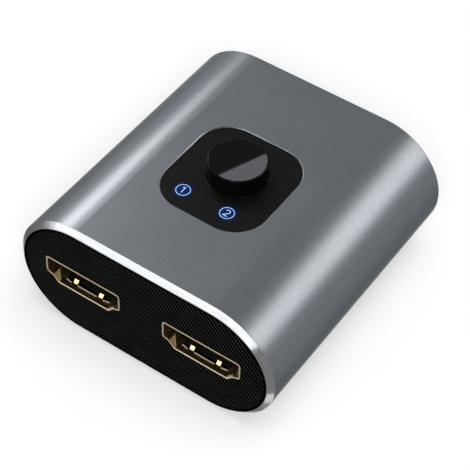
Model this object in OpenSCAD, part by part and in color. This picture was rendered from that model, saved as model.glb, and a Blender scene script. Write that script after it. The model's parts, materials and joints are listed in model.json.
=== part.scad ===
// Two-way video switch box: an extruded aluminium shell closed by two ribbed end panels,
// with two 19-contact receptacles in front, one behind, and a push-push selector button on top.
// The origin is the middle of the underside; +Z is up and the pair of ports faces -Y.

/* [Body] */
// Width of the shell
body_w = 48.8; // [47:0.1:60]
// Depth of the shell, from the front panel's face to the rear panel's face
body_d = 51; // [50:0.1:70]
// Height of the shell, which is also the diameter of its round sides
body_h = 23.4; // [22.6:0.1:26]
// Thickness of the shell's wall
wall = 2; // [1.7:0.1:2.3]
// Polished chamfer round both ends of the shell
edge_chamfer = 0.9; // [0.3:0.1:0.9]

/* [End panels] */
// Thickness of an end panel, which sits in a rebate of the shell
panel_t = 1.6; // [1.2:0.1:2.4]
// Thickness of the shell's lip round an end panel
lip = 1; // [0.95:0.05:1.3]
// Length of the tongues that guide a panel into the shell
tongue_len = 5; // [3:0.5:7]
// Thickness of those tongues
tongue_t = 1.4; // [1:0.1:2]
// Width of those tongues
tongue_w = 20; // [10:1:22]
// Distance between neighbouring ribs of a panel's face
rib_pitch = 0.73; // [0.6:0.01:1.2]
// Depth of the grooves between the ribs
rib_depth = 0.15; // [0.05:0.01:0.3]
// Slant of the ribs from level
rib_slant = 46.8; // [30:0.1:60]
// Width of the smooth rim round the ribs
rim_w = 0.45; // [0.3:0.05:1]

/* [Receptacles] */
// Distance of a front port's middle from the shell's side
port_inset = 13; // [12.6:0.1:14]
// Height of the ports' middle above the shell's middle
port_rise = 0.4; // [-1:0.1:1]
// Width of a port's opening
port_open_w = 14; // [13.8:0.05:14.2]
// Height of a port's opening
port_open_h = 4.55; // [4.5:0.05:4.7]
// Sheet thickness of a port's metal shell
port_shell_t = 0.3; // [0.2:0.05:0.4]
// Length of a port's metal shell
port_len = 12; // [11:0.1:14]
// How far a port's mouth stands proud of its panel
port_proud = 0.15; // [0:0.05:0.5]
// Rise of the spring fingers from the walls of a port
finger_rise = 0.5; // [0.2:0.05:0.7]
// Width of a spring finger
finger_w = 0.75; // [0.6:0.05:1.2]
// Width of the contact blade in a port
blade_w = 10.8; // [10.6:0.1:11]
// Thickness of the contact blade
blade_t = 1.5; // [1.2:0.05:1.6]
// Depth of the contact blade's front edge behind the mouth
blade_depth = 2.8; // [2.6:0.1:4]
// Distance between neighbouring contacts of one row
contact_pitch = 1; // [0.9:0.05:1]
// Width of a contact
contact_w = 0.3; // [0.2:0.05:0.35]
// Thickness of a contact
contact_t = 0.15; // [0.1:0.05:0.2]

/* [Control plate] */
// Width of the pocket for the control plate
plate_w = 18.8; // [18:0.1:20]
// Depth of that pocket, from front to back
plate_d = 20.4; // [20:0.1:24]
// Corner radius of the pocket
plate_r = 5.8; // [4:0.1:7]
// Place of the plate's middle along the shell
plate_y = -1.4; // [-2:0.1:1]
// Depth of the pocket below the shell's top
pocket_depth = 1.2; // [0.9:0.05:1.4]
// Drop of the plate's face below the shell's top
plate_drop = 0.25; // [0:0.05:0.4]
// Chamfer round the pocket's upper edge
pocket_chamfer = 0.15; // [0.05:0.05:0.4]
// Width of the ledge that carries the plate
ledge_w = 1.2; // [0.8:0.1:1.3]

/* [Push button] */
// Diameter of the button
button_d = 9.8; // [8:0.1:10.6]
// Height of the button above the control plate
button_h = 3; // [2.6:0.1:4]
// Radius of the button's upper edge
button_edge_r = 0.25; // [0.1:0.05:0.6]
// Place of the button's middle along the shell
button_y = 0.2; // [-0.5:0.1:1.5]
// Width of the button's retaining flange outside its wall
button_flange = 0.9; // [0.6:0.1:1.1]
// Travel of the button
button_travel = 2; // [1.5:0.1:2.2]

/* [Indicators] */
// Distance between the two indicator windows
lamp_pitch = 8.4; // [7:0.1:9]
// Sideways place of the middle of the pair
lamp_x = -0.6; // [-0.8:0.1:0.8]
// Place of the windows in front of the plate's middle
lamp_ahead = 6.5; // [6.4:0.1:7]
// Diameter of a window
lamp_d = 2.9; // [2:0.1:3]

/* [Circuit board] */
// Thickness of the circuit board
board_t = 1.6; // [1:0.1:2]
// Grip of the shell's rails on the board's edges
rail_grip = 1.4; // [0.8:0.1:1.6]
// Thickness of the rails
rail_t = 1.3; // [0.8:0.1:2]
// Side of the selector switch's square housing
switch_w = 7; // [6:0.1:8]
// Height of the selector switch's housing
switch_h = 7.4; // [6.8:0.1:8]
// Side of the video switch chip
chip_w = 7; // [5:0.1:8]

/* [Clearances] */
// Gap round each fixed piece that drops into a seat
seat_gap = 0.05; // [0.02:0.01:0.1]
// Gap round the moving button in its hole
button_gap = 0.15; // [0.1:0.05:0.3]
// Gap round the moving plunger in its hole
plunger_gap = 0.06; // [0.03:0.01:0.1]

/* [Hidden] */
$fn = 96;
eps = 0.01;

// Shell
side_r = body_h / 2;
mid_z = side_r;
flat_w = body_w - body_h;
inner_r = side_r - wall;
inner_top = body_h - wall;
function inner_half(z) = flat_w / 2 + sqrt(pow(inner_r, 2) - pow(z - mid_z, 2));

// Ribs
rib_groove_w = rib_pitch * 0.6;
rib_lead = 0.02;

// Ports
port_x = body_w / 2 - port_inset;
port_z = mid_z + port_rise;
mouth_y = body_d / 2 + port_proud;
port_corner_r = 0.35;
port_side_drop = 3.05;
port_ledge_in = 1.1;
port_ledge_drop = 0.4;
port_foot_in = 2.15;
finger_x = 2.5;
finger_start = 1.15;
finger_peak = finger_start + finger_rise;
finger_root = 6;
finger_t = 0.25;
finger_slot_gap = 0.25;
floor_window_half = 4.3;
floor_edge = 1.1;
floor_edge_half = 3.2;
floor_edge_setback = 0.2;
floor_lip = [0.16, 0.1];
block_depth = 6.6;
blade_rise = 0.35;
blade_nose = 0.35;
contact_start = blade_depth + 0.4;
contact_gap = 0.04;
upper_contacts = 10;
lower_contacts = 9;
upper_bend = 0.9;
lower_bend = 0.4;
contact_foot = 0.8;
leg_w = 1.2;
leg_places = [4.5, 9.5];
leg_slot_gap = 0.2;
leg_below_board = 0.8;

// Circuit board, carried by the rails and locked between the panels
board_top = port_z - port_open_h / 2 - port_shell_t;
board_bottom = board_top - board_t;
board_side_gap = 0.4;
board_end_gap = 0.2;
board_half = inner_half(board_bottom) - board_side_gap;
board_len = body_d - 2 * (panel_t + board_end_gap);
rail_gap = 0.15;

// Control plate
plate_top = body_h - plate_drop;
plate_bottom = body_h - pocket_depth;
window_w = plate_w - 2 * ledge_w;
window_d = plate_d - 2 * ledge_w;
clip_t = 1;
clip_w = 3;
clip_gap = 0.1;
clip_spread = window_d - 2 * (plate_r - ledge_w) - clip_w - 2 * clip_gap;
clip_hook = 0.7;
clip_hook_h = 1;

// Button and selector switch
button_r = button_d / 2;
button_top = plate_top + button_h;
button_wall = 1.2;
button_stem_wall = 1;
flange_t = 0.8;
flange_r = button_r + button_flange;
flange_top = plate_bottom - seat_gap;
flange_bottom = flange_top - flange_t;
plunger_r = 1.6;
plunger_top = button_top - 1.8;
plunger_head_r = 2.2;
plunger_head_t = 1;
cavity_r = 2.4;
switch_roof = 1.2;
switch_floor = 1;
switch_top = board_top + switch_h;
head_top = switch_top - switch_roof - plunger_gap;
head_bottom = head_top - plunger_head_t;
spring_wire = 0.3;
spring_r = 1.7;
spring_turns = 4.5;
spring_end_gap = 0.1;
spring_low = board_top + switch_floor + spring_end_gap + spring_wire / 2;
spring_high = head_bottom - spring_end_gap - spring_wire / 2;
spring_rings = 8;
spring_sides = 6;
terminal_w = 0.5;
terminal_rows = [-2.25, 2.25];
terminal_places = [-2, 0, 2];
terminal_hole_r = 0.5;
terminal_below_board = 1.2;

// Indicators
lamp_y = plate_y - lamp_ahead;
lamp_r = lamp_d / 2;
lamp_places = [for (side = [-1, 1]) [lamp_x + side * lamp_pitch / 2, lamp_y]];
lamp_collar = 0.5;
lamp_collar_t = 0.8;
led_size = [1.6, 0.8, 0.35];
led_dome_size = [1, 0.8, 0.35];
led_gap = 0.2;
led_top = board_top + led_size.z + led_dome_size.z;

// Small parts on the board
chip_inset = 7.9;
chip_place = [board_half - chip_inset, 2];
chip_h = 1;
chip_lift = 0.1;
chip_corner = 0.4;
lead_pitch = 0.5;
lead_w = 0.22;
lead_t = 0.13;
lead_reach = 0.9;
lead_shoulder = 0.4;
leads_per_side = floor((chip_w - 1) / lead_pitch);
array_size = [2.5, 1, 0.55];
array_ahead = 2.2;
array_spread = 5;
array_row = mouth_y - port_len - upper_bend - contact_foot - array_ahead;
capacitor_size = [1.6, 0.8, 0.8];
resistor_size = [1, 0.5, 0.35];
chip_capacitor_gap = 2.4;
resistor_inset = 11.1;
resistor_place = [resistor_inset - board_half, -2];
resistor_step = [2.4, 2];
resistor_columns = 4;
resistor_rows = 4;

// Outline helpers

// Outward normal of the edge from a to b of a counter-clockwise outline
function edge_normal(a, b) = let (d = b - a) [d.y, -d.x] / norm(d);

// The outline moved outwards by a distance
function grown(points, by) = let (n = len(points)) [
    for (i = [0 : n - 1])
        let (
            first = edge_normal(points[(i + n - 1) % n], points[i]),
            second = edge_normal(points[i], points[(i + 1) % n])
        )
        points[i] + by * (first + second) / (1 + first * second)
];

// The outline with each corner rounded
function rounded(points, radius, steps = 4) = let (n = len(points)) [
    for (i = [0 : n - 1])
        let (
            corner = points[i],
            before = points[(i + n - 1) % n] - corner,
            after = points[(i + 1) % n] - corner,
            u = before / norm(before),
            v = after / norm(after),
            half_angle = acos(u * v) / 2,
            reach = radius / tan(half_angle),
            centre = corner + (u + v) / norm(u + v) * radius / sin(half_angle),
            from = corner + u * reach - centre,
            to = corner + v * reach - centre
        )
        for (k = [0 : steps])
            let (mix = from * (steps - k) + to * k)
            centre + mix / norm(mix) * radius
];

// The D-shaped opening of a port, wide side up, about its middle
port_half_w = port_open_w / 2;
port_half_h = port_open_h / 2;
port_points = [
    [-port_half_w, port_half_h],
    [-port_half_w, port_half_h - port_side_drop],
    [-port_half_w + port_ledge_in, port_half_h - port_side_drop - port_ledge_drop],
    [-port_half_w + port_foot_in, -port_half_h],
    [port_half_w - port_foot_in, -port_half_h],
    [port_half_w - port_ledge_in, port_half_h - port_side_drop - port_ledge_drop],
    [port_half_w, port_half_h - port_side_drop],
    [port_half_w, port_half_h]
];
function port_outline(by) = rounded(grown(port_points, by), port_corner_r + max(by, 0));

module box(low, high) {
    translate(low)
        cube(high - low);
}

// A bar along Y with flat top and bottom and half-round sides, chamfered at both ends
module stadium_bar(length, radius, bevel = 0) {
    end = length / 2;
    half_section = bevel > 0
        ? [[0, -end], [radius - bevel, -end], [radius, bevel - end],
           [radius, end - bevel], [radius - bevel, end], [0, end]]
        : [[0, -end], [radius, -end], [radius, end], [0, end]];
    full_section = concat(
        [for (i = [1 : len(half_section) - 2]) half_section[i]],
        [for (i = [len(half_section) - 2 : -1 : 1]) [-half_section[i].x, half_section[i].y]]
    );
    for (side = [0, 180])
        rotate([0, side, 0])
            translate([flat_w / 2, 0, 0])
                rotate([-90, -90, 0])
                    rotate_extrude(angle = 180)
                        polygon(half_section);
    rotate([90, 0, 90])
        linear_extrude(flat_w, center = true)
            polygon([for (p = full_section) [p.y, p.x]]);
}

// A plate with round corners, its low face at z = 0
module round_plate(width, depth, radius, height) {
    linear_extrude(height) {
        square([width - 2 * radius, depth], center = true);
        square([width, depth - 2 * radius], center = true);
        for (x = [-1, 1], y = [-1, 1])
            translate([x * (width / 2 - radius), y * (depth / 2 - radius)])
                circle(radius);
    }
}

// A plate like that whose sides lean out at 45 degrees
module flared_plate(width, depth, radius, height) {
    for (side = [[width, depth, 0], [depth, width, 90]])
        rotate([0, 0, side[2]])
            translate([0, side[1] / 2 - radius, 0])
                rotate([90, 0, 0])
                    linear_extrude(side[1] - 2 * radius)
                        polygon([
                            [-side[0] / 2, 0],
                            [side[0] / 2, 0],
                            [side[0] / 2 + height, height],
                            [-side[0] / 2 - height, height]
                        ]);
    for (x = [-1, 1], y = [-1, 1])
        translate([x * (width / 2 - radius), y * (depth / 2 - radius), 0])
            cylinder(r1 = radius, r2 = radius + height, h = height);
}

// Puts a port's pieces in place: its mouth is at y = 0 and its depth runs along +Y
module at_input(side) {
    translate([side * port_x, -mouth_y, port_z])
        children();
}

module at_output() {
    translate([0, mouth_y, port_z])
        rotate([0, 0, 180])
            children();
}

// A prism along Y of an outline in X and Z
module along_depth(points, start, end) {
    translate([0, end, 0])
        rotate([90, 0, 0])
            linear_extrude(end - start)
                polygon(points);
}

// A strip across X of an outline in Y and Z
module across(points, width) {
    rotate([90, 0, 90])
        linear_extrude(width, center = true)
            polygon(points);
}

// Shell

module rails() {
    rail_len = body_d - 2 * panel_t;
    grip_x = board_half - rail_grip;
    levels = [[board_bottom - rail_t, board_bottom], [board_top + rail_gap, board_top + rail_gap + rail_t]];
    intersection() {
        translate([0, 0, mid_z])
            stadium_bar(rail_len, inner_r + wall / 2);
        for (side = [0, 180], level = levels)
            rotate([0, 0, side])
                box([grip_x, -rail_len / 2, level[0]], [body_w / 2, rail_len / 2, level[1]]);
    }
}

module aluminium_shell() {
    color("slategray") {
        difference() {
            translate([0, 0, mid_z])
                stadium_bar(body_d, side_r, edge_chamfer);
            translate([0, 0, mid_z])
                stadium_bar(body_d + 2, inner_r);
            for (side = [-1, 1])
                translate([0, side * body_d / 2, mid_z])
                    stadium_bar(2 * panel_t, side_r - lip);
            translate([0, plate_y, plate_bottom])
                round_plate(plate_w, plate_d, plate_r, pocket_depth + 1);
            translate([0, plate_y, body_h - pocket_chamfer])
                flared_plate(plate_w, plate_d, plate_r, pocket_chamfer + eps);
            translate([0, plate_y, inner_top - 1])
                round_plate(window_w, window_d, plate_r - ledge_w, wall + 1);
        }
        rails();
    }
}

// End panels

// Slanted grooves that leave the ribs of the front panel's face, inside its smooth rim
module rib_grooves() {
    reach = body_w / 2;
    count = ceil(reach / rib_pitch);
    half = rib_groove_w / 2;
    grooves = [
        for (i = [-count : count])
            for (p = [[-half, -rib_lead], [0, rib_depth], [half, -rib_lead]])
                [i * rib_pitch + p.x, p.y]
    ];
    far = grooves[len(grooves) - 1].x;
    translate([0, -body_d / 2, mid_z])
        intersection() {
            stadium_bar(2, side_r - lip - rim_w);
            rotate([0, rib_slant - 90, 0])
                linear_extrude(2 * reach, center = true)
                    polygon(concat(grooves, [[far, -0.5], [-far, -0.5]]));
        }
}

module panel_at_front(port_places) {
    inner_y = panel_t - body_d / 2;
    difference() {
        union() {
            translate([0, (panel_t - body_d) / 2, mid_z])
                stadium_bar(panel_t, side_r - lip - seat_gap);
            for (low = [wall + seat_gap, inner_top - seat_gap - tongue_t])
                box([-tongue_w / 2, inner_y - eps, low],
                    [tongue_w / 2, inner_y + tongue_len, low + tongue_t]);
        }
        for (x = port_places)
            translate([x, 0, port_z])
                along_depth(port_outline(port_shell_t + seat_gap), -body_d / 2 - 1, inner_y + 1);
        rib_grooves();
    }
}

module front_panel() {
    color("black")
        panel_at_front([-port_x, port_x]);
}

module rear_panel() {
    color("black")
        rotate([0, 0, 180])
            panel_at_front([0]);
}

// Control plate, clipped through the shell's window

module plate_clip() {
    outer_x = window_w / 2 - clip_gap;
    hook_top = inner_top - clip_gap;
    translate([0, clip_w / 2, 0])
        rotate([90, 0, 0])
            linear_extrude(clip_w)
                polygon([
                    [outer_x - clip_t, plate_bottom + eps],
                    [outer_x - clip_t, hook_top - clip_hook_h],
                    [outer_x, hook_top - clip_hook_h],
                    [outer_x + clip_gap + clip_hook, hook_top],
                    [outer_x, hook_top],
                    [outer_x, plate_bottom + eps]
                ]);
}

module control_plate() {
    color([0.09, 0.09, 0.1]) {
        difference() {
            translate([0, plate_y, plate_bottom])
                round_plate(plate_w - 2 * seat_gap, plate_d - 2 * seat_gap, plate_r - seat_gap,
                            plate_top - plate_bottom);
            translate([0, button_y, plate_bottom - 1])
                cylinder(r = button_r + button_gap, h = wall + 2);
            for (place = lamp_places)
                translate([place.x, place.y, plate_bottom - 1])
                    cylinder(r = lamp_r + seat_gap, h = wall + 2);
        }
        for (turn = [0, 180], y = [-clip_spread / 2, clip_spread / 2])
            translate([0, plate_y, 0])
                rotate([0, 0, turn])
                    translate([0, y, 0])
                        plate_clip();
    }
}

// Push button: a cap with a retaining flange and a socket for the switch's plunger

module push_button() {
    socket_r = plunger_r + seat_gap;
    stem_r = socket_r + button_stem_wall;
    edge = [
        for (a = [0 : 15 : 90])
            [button_r - button_edge_r * (1 - cos(a)), button_top - button_edge_r * (1 - sin(a))]
    ];
    color([0.05, 0.05, 0.05])
        translate([0, button_y, 0])
            rotate_extrude()
                polygon(concat(
                    [
                        [0, button_top],
                        [0, plunger_top],
                        [socket_r, plunger_top],
                        [socket_r, flange_bottom],
                        [stem_r, flange_bottom],
                        [stem_r, button_top - button_wall],
                        [button_r - button_wall, button_top - button_wall],
                        [button_r - button_wall, flange_bottom],
                        [flange_r, flange_bottom],
                        [flange_r, flange_top],
                        [button_r, flange_top]
                    ],
                    edge
                ));
}

// Light pipes, from the lamps on the board up to the plate's face

module light_pipe(index) {
    color("royalblue")
        translate([lamp_places[index].x, lamp_places[index].y, 0])
            rotate_extrude()
                polygon([
                    [0, led_top + led_gap],
                    [lamp_r, led_top + led_gap],
                    [lamp_r, plate_bottom - lamp_collar_t],
                    [lamp_r + lamp_collar, plate_bottom - lamp_collar_t],
                    [lamp_r + lamp_collar, plate_bottom],
                    [lamp_r, plate_bottom],
                    [lamp_r, plate_top],
                    [0, plate_top]
                ]);
}

// Receptacles, each modelled about its mouth

// A spring finger: rooted in the wall at its inner end, bent up, and sloped down at its tip
module finger() {
    floor_z = -port_half_h;
    peak_z = floor_z + finger_rise;
    across([
        [finger_start, floor_z],
        [finger_start + finger_t, floor_z],
        [finger_peak, peak_z - finger_t],
        [finger_root + finger_slot_gap, floor_z - finger_t],
        [finger_root + finger_slot_gap, floor_z],
        [finger_peak, peak_z]
    ], finger_w);
}

// Front edge of the lower wall's window, seen from above: straight, and set back at its ends
floor_edge_line = [
    [-floor_window_half, floor_edge + floor_edge_setback],
    [-floor_edge_half, floor_edge],
    [floor_edge_half, floor_edge],
    [floor_window_half, floor_edge + floor_edge_setback]
];

// That edge, turned up a little
module floor_edge_lip() {
    low_z = -port_half_h - port_shell_t / 2;
    front_line = [for (i = [3 : -1 : 0]) floor_edge_line[i] - [0, floor_lip.x]];
    translate([0, 0, low_z])
        linear_extrude(port_shell_t / 2 + floor_lip.y)
            polygon(concat(floor_edge_line, front_line));
}

module floor_window(low_z, high_z) {
    back_line = [[floor_window_half, finger_root], [-floor_window_half, finger_root]];
    translate([0, 0, low_z])
        linear_extrude(high_z - low_z)
            polygon(concat(floor_edge_line, back_line));
}

module port_shell() {
    slot_w = finger_w + 2 * finger_slot_gap;
    slot_low = -port_half_h - port_shell_t - 0.1;
    slot_high = -port_half_h + floor_lip.y + 0.1;
    leg_x = port_half_w;
    leg_bottom = board_bottom - leg_below_board - port_z;
    color("goldenrod") {
        difference() {
            union() {
                difference() {
                    along_depth(port_outline(port_shell_t), 0, port_len);
                    along_depth(port_outline(0), -1, port_len + 1);
                }
                floor_edge_lip();
            }
            for (x = [-finger_x, finger_x], flip = [0, 1])
                mirror([0, 0, flip])
                    box([x - slot_w / 2, finger_start - finger_slot_gap, slot_low],
                        [x + slot_w / 2, finger_root, slot_high]);
            floor_window(slot_low, slot_high);
        }
        for (x = [-finger_x, finger_x], flip = [0, 1])
            mirror([0, 0, flip])
                translate([x, 0, 0])
                    finger();
        for (turn = [0, 1], y = leg_places)
            mirror([turn, 0, 0])
                box([leg_x, y - leg_w / 2, leg_bottom], [leg_x + port_shell_t, y + leg_w / 2, 0]);
    }
}

// X places of a row of contacts
function contact_row(count) = [for (i = [0 : count - 1]) (i - (count - 1) / 2) * contact_pitch];

upper_face = blade_rise + blade_t / 2;
lower_face = blade_rise - blade_t / 2;
board_level = board_top - port_z;

module port_insulator() {
    low_z = blade_rise - blade_t / 2;
    high_z = blade_rise + blade_t / 2;
    channel_end = port_len + 1;
    channel_half = contact_w / 2 + contact_gap;
    color([0.08, 0.08, 0.08])
        difference() {
            union() {
                along_depth(port_outline(-seat_gap), block_depth, port_len);
                across([
                    [blade_depth, low_z + blade_nose],
                    [blade_depth + blade_nose, low_z],
                    [block_depth + eps, low_z],
                    [block_depth + eps, high_z],
                    [blade_depth + blade_nose, high_z],
                    [blade_depth, high_z - blade_nose]
                ], blade_w);
            }
            for (x = contact_row(upper_contacts))
                box([x - channel_half, contact_start - contact_gap, upper_face - contact_t - contact_gap],
                    [x + channel_half, channel_end, upper_face + contact_gap]);
            for (x = contact_row(lower_contacts))
                box([x - channel_half, contact_start - contact_gap, lower_face - contact_gap],
                    [x + channel_half, channel_end, lower_face + contact_t + contact_gap]);
        }
}

// One contact: along the blade, down behind the insulator and out on the board
module contact(high_z, low_z, bend) {
    leg_y = port_len + bend;
    across([
        [contact_start, low_z],
        [leg_y - contact_t, low_z],
        [leg_y - contact_t, board_level],
        [leg_y + contact_foot, board_level],
        [leg_y + contact_foot, board_level + contact_t],
        [leg_y, board_level + contact_t],
        [leg_y, high_z],
        [contact_start, high_z]
    ], contact_w);
}

module port_contacts() {
    color("gold") {
        for (x = contact_row(upper_contacts))
            translate([x, 0, 0])
                contact(upper_face, upper_face - contact_t, upper_bend);
        for (x = contact_row(lower_contacts))
            translate([x, 0, 0])
                contact(lower_face + contact_t, lower_face, lower_bend);
    }
}

// Circuit board

module port_leg_slots() {
    slot_low = board_bottom - 1 - port_z;
    slot_high = board_top + 1 - port_z;
    for (turn = [0, 1], y = leg_places)
        mirror([turn, 0, 0])
            box([port_half_w - leg_slot_gap, y - leg_w / 2 - leg_slot_gap, slot_low],
                [port_half_w + port_shell_t + leg_slot_gap, y + leg_w / 2 + leg_slot_gap, slot_high]);
}

module at_terminals() {
    for (x = terminal_rows, y = terminal_places)
        translate([x, button_y + y, 0])
            children();
}

module circuit_board() {
    color([0.06, 0.07, 0.07])
        difference() {
            box([-board_half, -board_len / 2, board_bottom], [board_half, board_len / 2, board_top]);
            for (side = [-1, 1])
                at_input(side)
                    port_leg_slots();
            at_output()
                port_leg_slots();
            at_terminals()
                translate([0, 0, board_bottom - 1])
                    cylinder(r = terminal_hole_r, h = board_t + 2, $fn = 32);
        }
}

// Selector switch under the button

module selector_switch_housing() {
    half = switch_w / 2;
    color("dimgray")
        translate([0, button_y, 0])
            difference() {
                box([-half, -half, board_top], [half, half, switch_top]);
                translate([0, 0, board_top + switch_floor])
                    cylinder(r = cavity_r, h = switch_h - switch_floor - switch_roof);
                translate([0, 0, switch_top - switch_roof - 1])
                    cylinder(r = plunger_r + plunger_gap, h = switch_roof + 2);
            }
}

module selector_switch_plunger() {
    color("white")
        translate([0, button_y, 0]) {
            translate([0, 0, head_bottom])
                cylinder(r = plunger_head_r, h = plunger_head_t);
            translate([0, 0, head_bottom])
                cylinder(r = plunger_r, h = plunger_top - head_bottom);
        }
}

// A tube round a helix, its ends closed by flat rings of the same points
module selector_switch_spring() {
    rings = round(spring_turns * spring_rings);
    climb = spring_high - spring_low;
    points = [
        for (i = [0 : rings], k = [0 : spring_sides - 1])
            let (
                turn = 360 * spring_turns * i / rings,
                around = 360 * k / spring_sides,
                radius = spring_r + spring_wire / 2 * cos(around),
                height = spring_low + climb * i / rings + spring_wire / 2 * sin(around)
            )
            [radius * cos(turn), radius * sin(turn), height]
    ];
    walls = [
        for (i = [0 : rings - 1], k = [0 : spring_sides - 1])
            let (a = i * spring_sides + k, b = i * spring_sides + (k + 1) % spring_sides)
            for (face = [[a, b, b + spring_sides], [a, b + spring_sides, a + spring_sides]]) face
    ];
    last = rings * spring_sides;
    ends = [
        for (k = [1 : spring_sides - 2])
            for (face = [[0, k + 1, k], [last, last + k, last + k + 1]]) face
    ];
    color("silver")
        translate([0, button_y, 0])
            polyhedron(points, concat(walls, ends));
}

module selector_switch_terminals() {
    half = terminal_w / 2;
    color("silver")
        at_terminals()
            box([-half, -half, board_bottom - terminal_below_board], [half, half, board_top]);
}

// Small parts on the board

module standing_block(size) {
    translate([-size.x / 2, -size.y / 2, board_top])
        cube(size);
}

module indicator_leds() {
    color("aliceblue")
        for (place = lamp_places)
            translate([place.x, place.y, 0]) {
                standing_block(led_size);
                translate([0, 0, led_size.z])
                    standing_block(led_dome_size);
            }
}

module video_switch_chip() {
    half = chip_w / 2;
    cut = half - chip_corner;
    color([0.12, 0.12, 0.13])
        translate([chip_place.x, chip_place.y, board_top + chip_lift])
            linear_extrude(chip_h)
                polygon([[-cut, -half], [half, -half], [half, half], [-half, half], [-half, -cut]]);
}

module chip_leads() {
    start = chip_w / 2;
    level = board_top + chip_lift + chip_h / 2;
    color("lightgray")
        translate([chip_place.x, chip_place.y, 0])
            for (turn = [0 : 90 : 270], i = [0 : leads_per_side - 1])
                rotate([0, 0, turn])
                    translate([(i - (leads_per_side - 1) / 2) * lead_pitch, 0, 0])
                        across([
                            [start, level],
                            [start + lead_shoulder - lead_t, level],
                            [start + lead_shoulder - lead_t, board_top],
                            [start + lead_reach, board_top],
                            [start + lead_reach, board_top + lead_t],
                            [start + lead_shoulder, board_top + lead_t],
                            [start + lead_shoulder, level + lead_t],
                            [start, level + lead_t]
                        ], lead_w);
}

module protection_arrays() {
    places = concat(
        [for (side = [-1, 1], offset = [-0.5, 0.5]) [side * port_x + offset * array_spread, -array_row]],
        [for (offset = [-0.5, 0.5]) [offset * array_spread, array_row]]
    );
    color([0.15, 0.15, 0.15])
        for (place = places)
            translate([place.x, place.y, 0])
                standing_block(array_size);
}

module capacitors() {
    reach = chip_w / 2 + chip_capacitor_gap;
    color("tan")
        translate([chip_place.x, chip_place.y, 0])
            for (side = [-1, 1], x = [-0.3, 0.3])
                translate([x * chip_w, side * reach, 0])
                    standing_block(capacitor_size);
}

module resistors() {
    color([0.2, 0.2, 0.22])
        for (column = [0 : resistor_columns - 1], row = [0 : resistor_rows - 1])
            translate(resistor_place + [-column * resistor_step.x, row * resistor_step.y])
                standing_block(resistor_size);
}

aluminium_shell();
front_panel();
rear_panel();
control_plate();
push_button();
light_pipe(0);  // light_pipe_1
light_pipe(1);  // light_pipe_2
circuit_board();
at_input(-1) port_shell();  // input_1_shell
at_input(-1) port_insulator();  // input_1_insulator
at_input(-1) port_contacts();  // input_1_contacts
at_input(1) port_shell();  // input_2_shell
at_input(1) port_insulator();  // input_2_insulator
at_input(1) port_contacts();  // input_2_contacts
at_output() port_shell();  // output_shell
at_output() port_insulator();  // output_insulator
at_output() port_contacts();  // output_contacts
selector_switch_housing();
selector_switch_plunger();
selector_switch_spring();
selector_switch_terminals();
indicator_leds();
video_switch_chip();
chip_leads();
protection_arrays();
capacitors();
resistors();
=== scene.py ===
"""Looks for the video switch box: finishes, lit numerals, coil spring, camera, floor and light."""

import json
import math

import bmesh
import bpy
from mathutils import Matrix, Vector


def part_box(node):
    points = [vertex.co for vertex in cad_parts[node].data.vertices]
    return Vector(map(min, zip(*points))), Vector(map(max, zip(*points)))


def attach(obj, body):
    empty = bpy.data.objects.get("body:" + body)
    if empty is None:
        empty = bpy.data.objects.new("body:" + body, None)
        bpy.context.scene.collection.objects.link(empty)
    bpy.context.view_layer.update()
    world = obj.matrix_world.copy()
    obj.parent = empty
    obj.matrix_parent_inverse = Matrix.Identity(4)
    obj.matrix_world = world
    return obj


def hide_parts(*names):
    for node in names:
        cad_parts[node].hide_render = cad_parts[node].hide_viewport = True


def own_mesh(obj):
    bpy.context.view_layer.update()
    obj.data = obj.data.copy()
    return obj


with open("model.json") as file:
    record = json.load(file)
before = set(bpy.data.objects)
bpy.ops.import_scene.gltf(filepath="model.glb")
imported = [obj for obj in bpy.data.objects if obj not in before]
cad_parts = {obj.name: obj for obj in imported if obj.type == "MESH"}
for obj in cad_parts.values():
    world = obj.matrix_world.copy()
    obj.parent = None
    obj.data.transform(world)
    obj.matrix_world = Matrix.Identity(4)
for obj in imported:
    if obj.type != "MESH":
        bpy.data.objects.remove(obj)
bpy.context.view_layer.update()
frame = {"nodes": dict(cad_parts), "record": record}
NODES = frame["nodes"]
MM = 0.001
scene = bpy.context.scene

# Camera fitted to the photograph, its angles in degrees

CAMERA_PLACE = Vector((96.10, -149.25, 205.42)) * MM
CAMERA_AZIMUTH = 32.726
CAMERA_ELEVATION = 47.949
CAMERA_ROLL = 2.581
CAMERA_LENS = 122.56
SENSOR_WIDTH = 36.0
CLIP_NEAR = 0.005
CLIP_FAR = 20.0


def direction(azimuth, elevation):
    """Unit vector towards a place round the object, in degrees; 0 is in front, 90 at the right."""
    around = math.radians(azimuth)
    above = math.radians(elevation)
    return Vector((
        math.sin(around) * math.cos(above),
        -math.cos(around) * math.cos(above),
        math.sin(above),
    ))


def make_camera():
    """The scene's camera, level apart from its roll."""
    back = direction(CAMERA_AZIMUTH, CAMERA_ELEVATION)
    level = direction(CAMERA_AZIMUTH + 90, 0)
    upright = back.cross(level)
    roll = math.radians(CAMERA_ROLL)
    right = level * math.cos(roll) + upright * math.sin(roll)
    up = upright * math.cos(roll) - level * math.sin(roll)
    data = bpy.data.cameras.new("camera")
    data.sensor_fit = "HORIZONTAL"
    data.sensor_width = SENSOR_WIDTH
    data.lens = CAMERA_LENS
    data.clip_start = CLIP_NEAR
    data.clip_end = CLIP_FAR
    camera = bpy.data.objects.new("camera", data)
    turn = Matrix((right, up, back)).transposed().to_4x4()
    camera.matrix_world = Matrix.Translation(CAMERA_PLACE) @ turn
    scene.collection.objects.link(camera)
    scene.camera = camera


# Tools that the finishes share: grain, noise, bumps and edge rounds are in millimetres

# Most values of a noise lie between these two
NOISE_LOW = 0.3
NOISE_HIGH = 0.7
EDGE_SAMPLES = 6


def rgba(colour):
    return (*colour[:3], 1.0)


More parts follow.
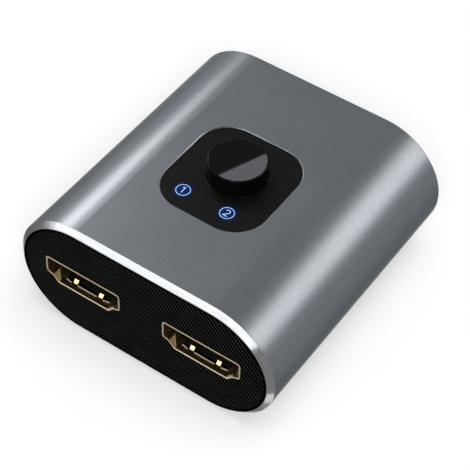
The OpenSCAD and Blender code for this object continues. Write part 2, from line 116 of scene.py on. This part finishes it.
class Shading:
    """A node material with short calls for the nodes that the finishes share."""

    def __init__(self, name):
        self.material = bpy.data.materials.new(name)
        self.material.use_nodes = True
        self.tree = self.material.node_tree
        self.surface = self.tree.nodes["Principled BSDF"]
        self.place = self.add("ShaderNodeTexCoord").outputs["Object"]

    def add(self, kind, **settings):
        made = self.tree.nodes.new(kind)
        for key, value in settings.items():
            setattr(made, key, value)
        return made

    def feed(self, socket, value):
        """Links a socket to another one, or sets it to a constant."""
        if isinstance(value, bpy.types.NodeSocket):
            self.tree.links.new(value, socket)
        else:
            socket.default_value = value

    def set(self, **values):
        """Feeds the surface's sockets, named with _ for a space."""
        for key, value in values.items():
            socket = self.surface.inputs[key.replace("_", " ")]
            self.feed(socket, rgba(value) if isinstance(value, tuple) else value)

    def axes(self):
        """The coordinates of a point along X, Y and Z, in metres."""
        parts = self.add("ShaderNodeSeparateXYZ")
        self.feed(parts.inputs[0], self.place)
        return parts.outputs

    def math(self, operation, first, second=0.0):
        made = self.add("ShaderNodeMath", operation=operation)
        self.feed(made.inputs[0], first)
        self.feed(made.inputs[1], second)
        return made.outputs[0]

    def within(self, value, low, high):
        """1 where a value lies between two limits, and 0 elsewhere."""
        return self.every(self.math("GREATER_THAN", value, low), self.math("LESS_THAN", value, high))

    def every(self, first, *others):
        """1 where all the masks are 1, and 0 elsewhere."""
        for other in others:
            first = self.math("MULTIPLY", first, other)
        return first

    def opposite(self, mask):
        return self.math("SUBTRACT", 1.0, mask)

    def noise(self, size_mm, detail=3.0, stretch=(1, 1, 1)):
        """Noise whose features are about size_mm across."""
        scaled = self.add("ShaderNodeMapping")
        scaled.inputs["Scale"].default_value = stretch
        self.feed(scaled.inputs["Vector"], self.place)
        made = self.add("ShaderNodeTexNoise")
        made.inputs["Scale"].default_value = 1 / (size_mm * MM)
        made.inputs["Detail"].default_value = detail
        self.feed(made.inputs["Vector"], scaled.outputs[0])
        return made.outputs["Fac"]

    def span(self, value, low, high, from_low=NOISE_LOW, from_high=NOISE_HIGH):
        """A value, such as a noise, stretched to run from low to high."""
        made = self.add("ShaderNodeMapRange")
        self.feed(made.inputs["Value"], value)
        made.inputs["From Min"].default_value = from_low
        made.inputs["From Max"].default_value = from_high
        made.inputs["To Min"].default_value = low
        made.inputs["To Max"].default_value = high
        return made.outputs["Result"]

    def mix(self, share, first, second):
        """A colour that runs from first to second with share."""
        made = self.add("ShaderNodeMix", data_type="RGBA")
        self.feed(made.inputs["Factor"], share)
        colours = [socket for socket in made.inputs if socket.type == "RGBA"]
        for socket, value in zip(colours, (first, second)):
            self.feed(socket, rgba(value) if isinstance(value, tuple) else value)
        return next(socket for socket in made.outputs if socket.type == "RGBA")

    def blend(self, share, first, second):
        """A number that runs from first to second with share."""
        made = self.add("ShaderNodeMix", data_type="FLOAT")
        self.feed(made.inputs["Factor"], share)
        numbers = [
            socket for socket in made.inputs if socket.type == "VALUE" and socket.name in ("A", "B")]
        for socket, value in zip(numbers, (first, second)):
            self.feed(socket, value)
        return next(socket for socket in made.outputs if socket.type == "VALUE")

    def bump(self, height, depth_mm, strength=1.0, edge_mm=0.0):
        """Relief in the surface, over edges that are rounded off by edge_mm where it is given."""
        made = self.add("ShaderNodeBump")
        made.inputs["Strength"].default_value = strength
        made.inputs["Distance"].default_value = depth_mm * MM
        self.feed(made.inputs["Height"], height)
        if edge_mm:
            edges = self.add("ShaderNodeBevel", samples=EDGE_SAMPLES)
            edges.inputs["Radius"].default_value = edge_mm * MM
            self.feed(made.inputs["Normal"], edges.outputs["Normal"])
        self.feed(self.surface.inputs["Normal"], made.outputs["Normal"])


def spread(value, share):
    """A number or a colour made lower and higher by a share of itself."""
    if isinstance(value, tuple):
        return tuple(c * (1 - share) for c in value), tuple(min(c * (1 + share), 1) for c in value)
    return value * (1 - share), value * (1 + share)


# Plain finishes: moulded, plated and drawn surfaces with a fine grain

CLOUD_GRAINS = 12
CLOUD_DETAIL = 2.0
COLOUR_SPREAD = 0.12
ROUGHNESS_SPREAD = 0.15


def grained(name, colour, roughness, grain_mm, depth_mm, **extra):
    """A finish with slight colour and roughness variation and a fine grain."""
    shading = Shading(name)
    cloud = shading.noise(grain_mm * CLOUD_GRAINS, CLOUD_DETAIL)
    grain = shading.noise(grain_mm)
    shading.set(
        Base_Color=shading.mix(shading.span(cloud, 0.0, 1.0), *spread(colour, COLOUR_SPREAD)),
        Roughness=shading.span(grain, *spread(roughness, ROUGHNESS_SPREAD)),
        **extra,
    )
    shading.bump(grain, depth_mm)
    return shading


GOLD = (0.42, 0.352, 0.225)
PLAIN_FINISHES = {
    "button_plastic": dict(
        colour=(0.0018, 0.0018, 0.0019), roughness=0.02, grain_mm=0.6, depth_mm=0.0001,
        Specular_IOR_Level=0.05),
    "contact_metal": dict(colour=GOLD, roughness=0.25, grain_mm=0.2, depth_mm=0.001, Metallic=1.0),
    "insulator_plastic": dict(
        colour=(0.010, 0.010, 0.011), roughness=0.5, grain_mm=0.2, depth_mm=0.004),
    "board_laminate": dict(
        colour=(0.006, 0.007, 0.007), roughness=0.4, grain_mm=0.5, depth_mm=0.005),
    "plunger_plastic": dict(
        colour=(0.75, 0.75, 0.72), roughness=0.45, grain_mm=0.3, depth_mm=0.003),
    "spring_steel": dict(
        colour=(0.55, 0.55, 0.56), roughness=0.3, grain_mm=0.1, depth_mm=0.002, Metallic=1.0),
    "tinned_metal": dict(
        colour=(0.6, 0.6, 0.6), roughness=0.3, grain_mm=0.1, depth_mm=0.002, Metallic=1.0),
    "led_lens": dict(colour=(0.75, 0.82, 0.90), roughness=0.15, grain_mm=0.3, depth_mm=0.001),
    "capacitor_ceramic": dict(
        colour=(0.42, 0.30, 0.18), roughness=0.5, grain_mm=0.1, depth_mm=0.003),
}

# Finish of the shell

SHELL_COLOUR = (0.1355, 0.1485, 0.1605)
SHELL_SPREAD = 0.10
GRAZING_TINT = (0.41, 0.42, 0.43)
BLAST_SIZE = 0.16
BLAST_DETAIL = 4.0
BLAST_DEPTH = 0.012
BLAST_STRENGTH = 0.6
BLAST_ROUGHNESS = (0.28, 0.36)
SPECK_SIZE = 0.35
SPECK_SHARE = 0.7
STAIN_SIZE = 9.0
CHAMFER_DEPTH = 0.88 * MM
CHAMFER_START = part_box("aluminium_shell")[1].y - CHAMFER_DEPTH
CHAMFER_COLOUR = (0.152, 0.156, 0.161)
CHAMFER_ROUGHNESS = (0.10, 0.24)
TURNING_SIZE = 0.10
TURNING_STRETCH = (0.02, 1, 0.02)
EDGE_ROUND = 0.12


def shell_finish():
    """Sand-blasted anodised metal with polished end chamfers."""
    shading = Shading("anodised_aluminium")
    along = shading.math("ABSOLUTE", shading.axes()[1])
    polished = shading.math("GREATER_THAN", along, CHAMFER_START)
    blast = shading.noise(BLAST_SIZE, BLAST_DETAIL)
    speck = shading.span(shading.noise(SPECK_SIZE, CLOUD_DETAIL), 0.0, SPECK_SHARE)
    stain = shading.span(shading.noise(STAIN_SIZE, CLOUD_DETAIL), 0.0, 1 - SPECK_SHARE)
    matt = shading.mix(shading.math("ADD", speck, stain), *spread(SHELL_COLOUR, SHELL_SPREAD))
    turning = shading.noise(TURNING_SIZE, CLOUD_DETAIL, TURNING_STRETCH)
    shading.set(
        Metallic=1.0,
        Specular_Tint=GRAZING_TINT,
        Base_Color=shading.mix(polished, matt, CHAMFER_COLOUR),
        Roughness=shading.blend(
            polished,
            shading.span(blast, *BLAST_ROUGHNESS),
            shading.span(turning, *CHAMFER_ROUGHNESS),
        ),
    )
    relief = shading.every(blast, shading.opposite(polished))
    shading.bump(relief, BLAST_DEPTH, BLAST_STRENGTH, EDGE_ROUND)
    return shading.material


# Finish of the end panels

PANEL_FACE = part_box("rear_panel")[1].y
PANEL_GRAIN = 0.08
PANEL_GRAIN_DEPTH = 0.004
PANEL_ROUGHNESS = (0.38, 0.5)
RIB_FLANK = (0.012 * MM, 0.068 * MM)
RIB_LAND_COLOUR = (0.0004, 0.0004, 0.0004)
# Painted sheen on the rib flanks, in patches; the lands are plain black
RIB_FLANK_SHEEN_COLOUR = (0.036, 0.036, 0.037)
RIB_SHEEN_MOTTLE_SIZE = 2.5
RIB_SHEEN_MOTTLE = (0.6, 1.0)


def panel_finish():
    """Black moulded plastic with a patchy painted sheen on its rib flanks."""
    shading = Shading("panel_plastic")
    depth = shading.math("SUBTRACT", PANEL_FACE, shading.math("ABSOLUTE", shading.axes()[1]))
    flank = shading.within(depth, *RIB_FLANK)
    sheen_mottle = shading.span(shading.noise(RIB_SHEEN_MOTTLE_SIZE), *RIB_SHEEN_MOTTLE)
    grain = shading.noise(PANEL_GRAIN)
    shading.set(
        # The lighter rib flanks are a painted sheen: the plastic itself reflects nothing
        Base_Color=shading.mix(shading.every(flank, sheen_mottle), RIB_LAND_COLOUR, RIB_FLANK_SHEEN_COLOUR),
        Roughness=shading.span(grain, *PANEL_ROUGHNESS),
        Specular_IOR_Level=0.0,
    )
    shading.bump(grain, PANEL_GRAIN_DEPTH)
    return shading.material


# Finish of the control plate

PLATE_LOOK = dict(
    colour=(0.003, 0.003, 0.0031), roughness=0.36, grain_mm=0.12, depth_mm=0.003,
    Specular_IOR_Level=0.06)
HALO_COLOUR = (0.02, 0.07, 1.0)
HALO_STRENGTH = 0.06
HALO_START = 1.2 * MM
HALO_END = 2.1 * MM
HALO_FALL = 2.0


def plate_finish():
    """Satin black plastic that passes a little light round its two lit windows."""
    shading = grained("plate_plastic", **PLATE_LOOK)
    halo = 0.0
    for pipe in ("light_pipe_1", "light_pipe_2"):
        low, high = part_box(pipe)
        reach = shading.add("ShaderNodeVectorMath", operation="DISTANCE")
        shading.feed(reach.inputs[0], shading.place)
        reach.inputs[1].default_value = ((low.x + high.x) / 2, (low.y + high.y) / 2, high.z)
        near = shading.span(reach.outputs["Value"], 1.0, 0.0, HALO_START, HALO_END)
        halo = shading.math("ADD", halo, shading.math("POWER", near, HALO_FALL))
    shading.set(
        Emission_Color=HALO_COLOUR,
        Emission_Strength=shading.math("MULTIPLY", halo, HALO_STRENGTH),
    )
    return shading.material


# Finish of the receptacles' shells, with heights over an opening's floor and depths behind its mouth

PORT_SHELLS = ("input_1_shell", "input_2_shell", "output_shell")
PORT_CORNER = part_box("output_shell")[1]
OPENING_HEIGHT = 4.55 * MM
SHEET = 0.3 * MM
MOUTH = PORT_CORNER.y
OPENING_FLOOR = PORT_CORNER.z - SHEET - OPENING_HEIGHT
INNER_LOOK = dict(colour=(0.50, 0.37, 0.17), roughness=0.26, grain_mm=0.3, depth_mm=0.002)
RIM_DEPTH = 0.05 * MM
RIM_ROUGHNESS = 0.32
# Painted highlight on the rim's foot and painted shade on its sides
RIM_FOOT_TOP = 0.075 * MM
RIM_FOOT_HIGHLIGHT_COLOUR = (0.70, 0.60, 0.43)
RIM_SIDES = (1.475 * MM, 4.425 * MM)
RIM_SIDE_SHADE_COLOUR = (0.31, 0.26, 0.165)
CUT_EDGE_HALF = 4.75 * MM
CUT_EDGE_LEVELS = (0.015 * MM, 0.125 * MM)
# Painted highlight along the cut edge of each opening's floor
CUT_EDGE_HIGHLIGHT_COLOUR = (0.40, 0.37, 0.33)
FLANK_REACH = (4.85 * MM, 5.95 * MM)
FLANK_LOW = 0.035 * MM
FLANK_TOP = 1.095 * MM
# Painted reflection on each opening's flanks: a brown band with a light line along its edge
FLANK_REFLECTION_REACH = 1.5 * MM
FLANK_REFLECTION_BAND = 0.35 * MM
FLANK_REFLECTION_COLOUR = (0.36, 0.24, 0.085)
FLANK_REFLECTION_LINE = 0.2 * MM
FLANK_REFLECTION_LINE_COLOUR = (0.52, 0.43, 0.29)


def port_masks(shading, across, along):
    """Masks of the floors, of both flanks and of the right flanks of all the receptacles."""
    masks = (0.0, 0.0, 0.0)
    for name in PORT_SHELLS:
        low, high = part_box(name)
        middle = (low + high) / 2
        here = shading.math("GREATER_THAN", shading.math("MULTIPLY", along, middle.y), 0.0)
        offset = shading.math("SUBTRACT", across, middle.x)
        beside = shading.math("ABSOLUTE", offset)
        spots = (
            shading.math("LESS_THAN", beside, CUT_EDGE_HALF),
            shading.within(beside, *FLANK_REACH),
            shading.within(offset, *FLANK_REACH),
        )
        masks = [
            shading.math("MAXIMUM", mask, shading.every(spot, here))
            for mask, spot in zip(masks, spots)
        ]
    return masks


def gold_finish():
    """Gold plated sheet with painted light: a matt highlight on a floor's cut edge, a reflection on the
    flanks, a lit foot and shaded sides on the rim.
    """
    shading = grained("gold_plate", **INNER_LOOK)
    inner = shading.surface.inputs["Base Color"].links[0].from_socket
    across, along, level = shading.axes()
    on_floor, on_flank, on_right = port_masks(shading, across, along)
    depth = shading.math("SUBTRACT", MOUTH, shading.math("ABSOLUTE", along))
    height = shading.math("SUBTRACT", level, OPENING_FLOOR)

    # The rim's front face: a painted highlight along its foot and painted shade on its sides
    rim = shading.math("LESS_THAN", depth, RIM_DEPTH)
    side = shading.within(height, *RIM_SIDES)
    foot = shading.math("LESS_THAN", height, RIM_FOOT_TOP)
    rim_lit_and_shaded = shading.mix(foot, shading.mix(side, GOLD, RIM_SIDE_SHADE_COLOUR), RIM_FOOT_HIGHLIGHT_COLOUR)
    plated = shading.mix(rim, inner, rim_lit_and_shaded)

    # Painted reflection on the flanks, not metallic: a brown band ending in a light line
    slant = shading.math("SUBTRACT", FLANK_TOP, height)
    reach = shading.math("ADD", depth, shading.blend(on_right, slant, FLANK_REFLECTION_REACH - FLANK_REFLECTION_BAND))
    flank_reflection = shading.every(
        on_flank,
        shading.within(height, FLANK_LOW, FLANK_TOP),
        shading.opposite(rim),
        shading.math("LESS_THAN", reach, FLANK_REFLECTION_REACH),
    )
    line = shading.math("GREATER_THAN", reach, FLANK_REFLECTION_REACH - FLANK_REFLECTION_LINE)
    painted_reflection = shading.mix(line, FLANK_REFLECTION_COLOUR, FLANK_REFLECTION_LINE_COLOUR)

    # A painted highlight along the floor's cut edge; like the painted flank reflection it is not
    # metallic
    edge_highlight = shading.every(on_floor, shading.within(height, *CUT_EDGE_LEVELS))
    shading.set(
        Base_Color=shading.mix(edge_highlight, shading.mix(flank_reflection, plated, painted_reflection), CUT_EDGE_HIGHLIGHT_COLOUR),
        Metallic=shading.opposite(shading.math("MAXIMUM", edge_highlight, flank_reflection)),
        Roughness=shading.blend(rim, INNER_LOOK["roughness"], RIM_ROUGHNESS),
    )
    return shading.material


# Finishes of the lit acrylic

MOTTLE_SIZE = 0.5
MOTTLE_SPREAD = 0.1
ACRYLIC_ROUGHNESS = 0.4
ACRYLIC_SPECULAR = 0.05
GLOW_FINISHES = {
    "light_pipe": dict(colour=(0.01, 0.09, 1.0), strength=0.075, base=(0.002, 0.004, 0.012)),
    "numeral_light": dict(colour=(0.37, 0.62, 1.0), strength=1.3, base=(0.02, 0.03, 0.05)),
}


def glow_finish(name, colour, strength, base):
    """Lit acrylic: a soft mottle in its light and a dull skin over it."""
    shading = Shading(name)
    mottle = shading.noise(MOTTLE_SIZE, CLOUD_DETAIL)
    shading.set(
        Base_Color=base,
        Roughness=ACRYLIC_ROUGHNESS,
        Specular_IOR_Level=ACRYLIC_SPECULAR,
        Emission_Color=colour,
        Emission_Strength=shading.span(mottle, *spread(strength, MOTTLE_SPREAD)),
    )
    return shading.material


def make_materials():
    """All the finishes by name, each put on the nodes whose slot has that name."""
    finishes = {
        "anodised_aluminium": shell_finish(),
        "panel_plastic": panel_finish(),
        "plate_plastic": plate_finish(),
        "gold_plate": gold_finish(),
    }
    for name, look in PLAIN_FINISHES.items():
        finishes[name] = grained(name, **look).material
    for name, look in GLOW_FINISHES.items():
        finishes[name] = glow_finish(name, **look)
    for part in frame["record"]["subparts"]:
        slots = NODES[part["node"]].data.materials
        slots.clear()
        slots.append(finishes[part["material_slot"]])
    return finishes


# Tools that the new pieces share


def skin(shape, rings, closed=False, smooth=False):
    """Adds a tube through rings of points to a bmesh: closed on itself, or capped at both ends."""
    rings = [[shape.verts.new(point) for point in ring] for ring in rings]
    followers = rings[1:] + rings[:1] if closed else rings[1:]
    for first, second in zip(rings, followers):
        for k in range(len(first)):
            after = (k + 1) % len(first)
            face = shape.faces.new((first[k], first[after], second[after], second[k]))
            face.smooth = smooth
    if not closed:
        shape.faces.new(reversed(rings[0]))
        shape.faces.new(rings[-1])


def add_piece(name, shape, material):
    """A new object in the scene with a bmesh's shape and one material."""
    bmesh.ops.recalc_face_normals(shape, faces=shape.faces)
    mesh = bpy.data.meshes.new(name)
    shape.to_mesh(mesh)
    shape.free()
    mesh.materials.append(material)
    piece = bpy.data.objects.new(name, mesh)
    scene.collection.objects.link(piece)
    return piece


# Lit numerals on the windows of the control plate, in millimetres from a window's middle

RING_RADIUS = 1.17
RING_WIDTH = 0.10
RING_STEPS = 64
STROKE_WIDTH = 0.13
NUMERAL_LIFT = 0.012
NUMERAL_DEPTH = 0.03


def arc(centre, radius, start, end, steps):
    """Points of a circular arc, angles in degrees."""
    points = []
    for i in range(steps + 1):
        angle = math.radians(start + (end - start) * i / steps)
        points.append((centre[0] + radius * math.cos(angle), centre[1] + radius * math.sin(angle)))
    return points


NUMERAL_LINES = {
    1: [(-0.32, 0.36), (0.04, 0.65), (0.04, -0.65)],
    2: arc((0.0, 0.30), 0.36, 165, -35, 14) + [(-0.38, -0.61), (0.42, -0.61)],
}


def offset_line(points, distance, closed):
    """The points moved sideways by a distance, with mitred corners."""
    moved = []
    count = len(points)
    for i, point in enumerate(points):
        before = points[i - 1] if closed or i else None
        after = points[(i + 1) % count] if closed or i < count - 1 else None
        sides = []
        for start, end in ((before, point), (point, after)):
            if start is not None and end is not None:
                run = (end - start).normalized()
                sides.append(Vector((-run.y, run.x)))
        normal = sum(sides, Vector((0, 0))).normalized()
        moved.append(point + normal * distance / normal.dot(sides[0]))
    return moved


def ribbon(shape, points, width, closed=False):
    """Adds a flat stroke along the points to a bmesh."""
    points = [Vector(point) for point in points]
    lefts = offset_line(points, -width / 2, closed)
    rights = offset_line(points, width / 2, closed)
    low, high = NUMERAL_LIFT - NUMERAL_DEPTH, NUMERAL_LIFT
    rings = [
        [(*left, low), (*right, low), (*right, high), (*left, high)]
        for left, right in zip(lefts, rights)
    ]
    skin(shape, rings, closed)


def make_numeral(number, material):
    """A channel number in its ring, on the end of its light pipe."""
    low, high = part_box(f"light_pipe_{number}")
    middle = (low + high) / 2
    shape = bmesh.new()
    ring = arc((0, 0), RING_RADIUS, 0, 360, RING_STEPS)[:-1]
    ribbon(shape, ring, RING_WIDTH, closed=True)
    ribbon(shape, NUMERAL_LINES[number], STROKE_WIDTH)
    numeral = add_piece(f"numeral_{number}", shape, material)
    numeral.matrix_world = Matrix.Translation((middle.x, middle.y, high.z)) @ Matrix.Scale(MM, 4)
    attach(numeral, "housing")


# Coil spring under the button

SPRING_WIRE = 0.3 * MM
SPRING_TURNS = 4.5
SPRING_RINGS = 108
SPRING_SIDES = 12


def spring_rings(low, high):
    """Rings of points round the wire of a coil that fills a box from low to high."""
    middle = (low + high) / 2
    wire = SPRING_WIRE / 2
    radius = (high.x - low.x) / 2 - wire
    climb = high.z - low.z - SPRING_WIRE
    rings = []
    for i in range(SPRING_RINGS + 1):
        share = i / SPRING_RINGS
        turn = 2 * math.pi * SPRING_TURNS * share
        ring = []
        for k in range(SPRING_SIDES):
            around = 2 * math.pi * k / SPRING_SIDES
            reach = radius + wire * math.cos(around)
            level = low.z + wire * (1 + math.sin(around)) + climb * share
            ring.append((
                middle.x + reach * math.cos(turn), middle.y + reach * math.sin(turn), level))
        rings.append(ring)
    return rings


def make_spring(material):
    """The selector switch's spring: a wire coil in the box of the CAD spring, which it hides."""
    low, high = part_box("selector_switch_spring")
    shape = bmesh.new()
    skin(shape, spring_rings(low, high), smooth=True)
    spring = add_piece("coil_spring", shape, material)
    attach(spring, "housing")
    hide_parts("selector_switch_spring")
    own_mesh(spring)


# Floor and world

FLOOR_SIZE = 6.0
FLOOR_DROP = 0.02 * MM
FLOOR_COLOUR = (0.5, 0.5, 0.5)
FLOOR_ROUGHNESS = 0.9
FLOOR_GLOW = 0.27
GLOW_COLOUR = (1.0, 1.0, 1.0)
GLOW_RAYS = ("Is Camera Ray", "Is Glossy Ray", "Is Transmission Ray")


def floor_finish():
    """A pale floor whose glow is only seen, and lights nothing."""
    shading = Shading("floor")
    path = shading.add("ShaderNodeLightPath")
    seen = 0.0
    for ray in GLOW_RAYS:
        seen = shading.math("MAXIMUM", seen, path.outputs[ray])
    shading.set(
        Base_Color=FLOOR_COLOUR,
        Roughness=FLOOR_ROUGHNESS,
        Specular_IOR_Level=0.0,
        Emission_Color=GLOW_COLOUR,
        Emission_Strength=shading.math("MULTIPLY", seen, FLOOR_GLOW),
    )
    return shading.material


def make_floor():
    """A wide plain floor just under the object."""
    half = FLOOR_SIZE / 2
    corners = [(-half, -half), (half, -half), (half, half), (-half, half)]
    mesh = bpy.data.meshes.new("floor")
    mesh.from_pydata([(x, y, -FLOOR_DROP) for x, y in corners], [], [(0, 1, 2, 3)])
    mesh.materials.append(floor_finish())
    floor = bpy.data.objects.new("floor", mesh)
    scene.collection.objects.link(floor)
    return floor


# Height of a direction, from the horizon at 0 to overhead at 1, and the grey there
WORLD_STEPS = ((0.0, 0.9), (0.10, 0.8), (0.30, 0.45), (0.6, 0.42), (1.0, 0.42))


def make_world():
    """A studio that is white near the horizon and darker overhead."""
    world = bpy.data.worlds.new("studio")
    scene.world = world
    world.use_nodes = True
    tree = world.node_tree
    parts = tree.nodes.new("ShaderNodeSeparateXYZ")
    tree.links.new(tree.nodes.new("ShaderNodeTexCoord").outputs["Generated"], parts.inputs[0])
    ramp = tree.nodes.new("ShaderNodeValToRGB")
    tree.links.new(parts.outputs[2], ramp.inputs[0])
    steps = ramp.color_ramp.elements
    while len(steps) < len(WORLD_STEPS):
        steps.new(0.5)
    for step, (height, grey) in zip(steps, WORLD_STEPS):
        step.position = height
        step.color = rgba((grey, grey, grey))
    tree.links.new(ramp.outputs[0], tree.nodes["Background"].inputs["Color"])


# Lamps: flat soft boxes, strips and cards, each of which lights only what its collection holds

AIM = Vector((0, 0, 12 * MM))
WHITE = (1.0, 1.0, 1.0)


def make_lit(name, things):
    """A collection of the things that a lamp lights."""
    lit = bpy.data.collections.new(name)
    for thing in things:
        lit.objects.link(thing)
    return lit


def make_lamp(name, place, turn, size, radiance, lit, tint=WHITE, oval=False):
    """A flat lamp of an even radiance that the camera doesn't see."""
    data = bpy.data.lights.new(name, "AREA")
    data.shape = "ELLIPSE" if oval else "RECTANGLE"
    data.size, data.size_y = size
    area = size[0] * size[1] * (math.pi / 4 if oval else 1)
    data.energy = radiance * math.pi * area
    data.color = tint
    lamp = bpy.data.objects.new(name, data)
    lamp.matrix_world = Matrix.Translation(place) @ turn.to_4x4()
    lamp.visible_camera = False
    lamp.light_linking.receiver_collection = lit
    scene.collection.objects.link(lamp)


def make_long_lamp(name, start, end, back, width, radiance, lit):
    """A lamp from one point to another, which shines away from the direction of its back."""
    along = (end - start).normalized()
    turn = Matrix((along, back.cross(along), back)).transposed()
    make_lamp(name, (start + end) / 2, turn, ((end - start).length, width), radiance, lit)


# Boxes that face the object

BOX_TINT = (1.0, 0.965, 0.955)
OBJECT_BOX_DISTANCE = 0.7
OBJECT_BOXES = (
    dict(name="left_box", azimuth=250, elevation=35, size=(0.50, 0.27), radiance=10.4,
         tint=BOX_TINT, oval=True),
    dict(name="left_low_box", azimuth=236, elevation=4, size=(0.45, 0.10), radiance=1.0),
    dict(name="right_box", azimuth=130, elevation=27.5, size=(0.55, 0.34), radiance=4.7,
         tint=BOX_TINT),
    dict(name="top_box", azimuth=190, elevation=54, size=(0.80, 0.50), radiance=0.45),
)
FLOOR_BOX_DISTANCE = 2.5
FLOOR_BOXES = (
    dict(name="floor_box", azimuth=33, elevation=44, size=(1.25, 0.70), radiance=19.5),
    dict(name="floor_disc", azimuth=100, elevation=80, size=(2.0, 2.0), radiance=3.8, oval=True),
)


def make_box_lamp(azimuth, elevation, distance, **lamp):
    """A soft box that faces the object from a direction."""
    toward = direction(azimuth, elevation)
    turn = toward.to_track_quat("Z", "Y").to_matrix()
    make_lamp(place=AIM + toward * distance, turn=turn, **lamp)


# Strips in an arch over the front, between places that are an azimuth and an elevation

STRIP_DISTANCE = 0.75
STRIP_WIDTH = 0.17
ARCH_PLACES = ((-70, 1), (-64, 8), (-58, 14), (-45, 25), (-20, 35.5), (8, 36), (28, 22), (38, 9))
ARCH_RADIANCE = (1.2, 3.2, 6.5, 6.5, 6.5, 6.5, 6.5)


def make_arch(lit):
    """Strips end to end that the front chamfer shows as its bright line."""
    places = [direction(*angles) * STRIP_DISTANCE for angles in ARCH_PLACES]
    for i, (start, end, radiance) in enumerate(zip(places, places[1:], ARCH_RADIANCE)):
        along = (end - start).normalized()
        middle = (start + end) / 2
        back = (middle - along * middle.dot(along)).normalized()
        make_long_lamp(
            f"front_strip_{i + 1}", AIM + start, AIM + end, back, STRIP_WIDTH, radiance, lit)


# Card for the button: the ends of a line across its top, from its middle, and a step to the bright side

CARD_LINE = (Vector((-0.51, -4.52)) * MM, Vector((2.76, 3.64)) * MM)
CARD_SIDE = Vector((0.93, -0.37)) * MM
CARD_DISTANCE = 0.15
CARD_SIZE = (0.04, 0.02)
CARD_RADIANCE = 17.5
CARD_TINT = (0.90, 0.92, 1.0)


def make_button_card():
    """A card whose edge the gloss button shows as a straight line across its top."""
    low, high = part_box("push_button")
    top = Vector(((low.x + high.x) / 2, (low.y + high.y) / 2, high.z))
    mirrored = Vector((CAMERA_PLACE.x, CAMERA_PLACE.y, 2 * top.z - CAMERA_PLACE.z))

    def reach(offset):
        start = top + offset.to_3d()
        return start + (start - mirrored).normalized() * CARD_DISTANCE

    start, end = [reach(offset) for offset in CARD_LINE]
    middle = (start + end) / 2
    side = reach((CARD_LINE[0] + CARD_LINE[1]) / 2 + CARD_SIDE) - middle
    along = (end - start).normalized()
    out = (side - along * side.dot(along)).normalized()
    back = along.cross(out)
    if back.dot(middle - AIM) < 0:
        along = -along
        back = along.cross(out)
    place = middle + out * CARD_SIZE[1] / 2
    turn = Matrix((along, out, back)).transposed()
    lit = make_lit("lit_by_card", [NODES["push_button"]])
    make_lamp("button_card", place, turn, CARD_SIZE, CARD_RADIANCE, lit, tint=CARD_TINT)


# Cards just over the floor that face up, in millimetres

LOW_CARD_LEVEL = 0.3
LOW_CARD_BACK = Vector((0, 0, -1))
LOW_CARDS = (
    dict(name="corner_card_1", start=(29.7, -28.2), end=(25.4, -25.5), width=5.0, radiance=3.4),
    dict(name="corner_card_2", start=(25.4, -25.5), end=(22.6, -24.2), width=5.0, radiance=1.2),
    dict(name="corner_card_3", start=(22.6, -24.2), end=(19.0, -23.5), width=5.0, radiance=0.2),
    dict(name="flank_card", start=(-53, 24), end=(-183, 117), width=130, radiance=0.25),
)


def make_low_card(name, start, end, width, radiance, lit):
    """A card that lies just over the floor from one point to another."""
    start, end = [Vector((*point, LOW_CARD_LEVEL)) * MM for point in (start, end)]
    make_long_lamp(name, start, end, LOW_CARD_BACK, width * MM, radiance, lit)


def make_lamps(floor):
    """Light for the object, for some of its nodes alone and for the floor alone."""
    lit = make_lit("lit_by_boxes", NODES.values())
    make_arch(lit)
    for box in OBJECT_BOXES:
        make_box_lamp(distance=OBJECT_BOX_DISTANCE, lit=lit, **box)
    make_button_card()
    shell = make_lit("lit_by_low_cards", [NODES["aluminium_shell"]])
    for card in LOW_CARDS:
        make_low_card(lit=shell, **card)
    ground = make_lit("lit_by_floor_box", [floor])
    for box in FLOOR_BOXES:
        make_box_lamp(distance=FLOOR_BOX_DISTANCE, lit=ground, **box)


make_camera()
finishes = make_materials()
for number in (1, 2):
    make_numeral(number, finishes["numeral_light"])
make_spring(finishes["spring_steel"])
floor = make_floor()
make_world()
make_lamps(floor)
scene.view_settings.view_transform = "Standard"
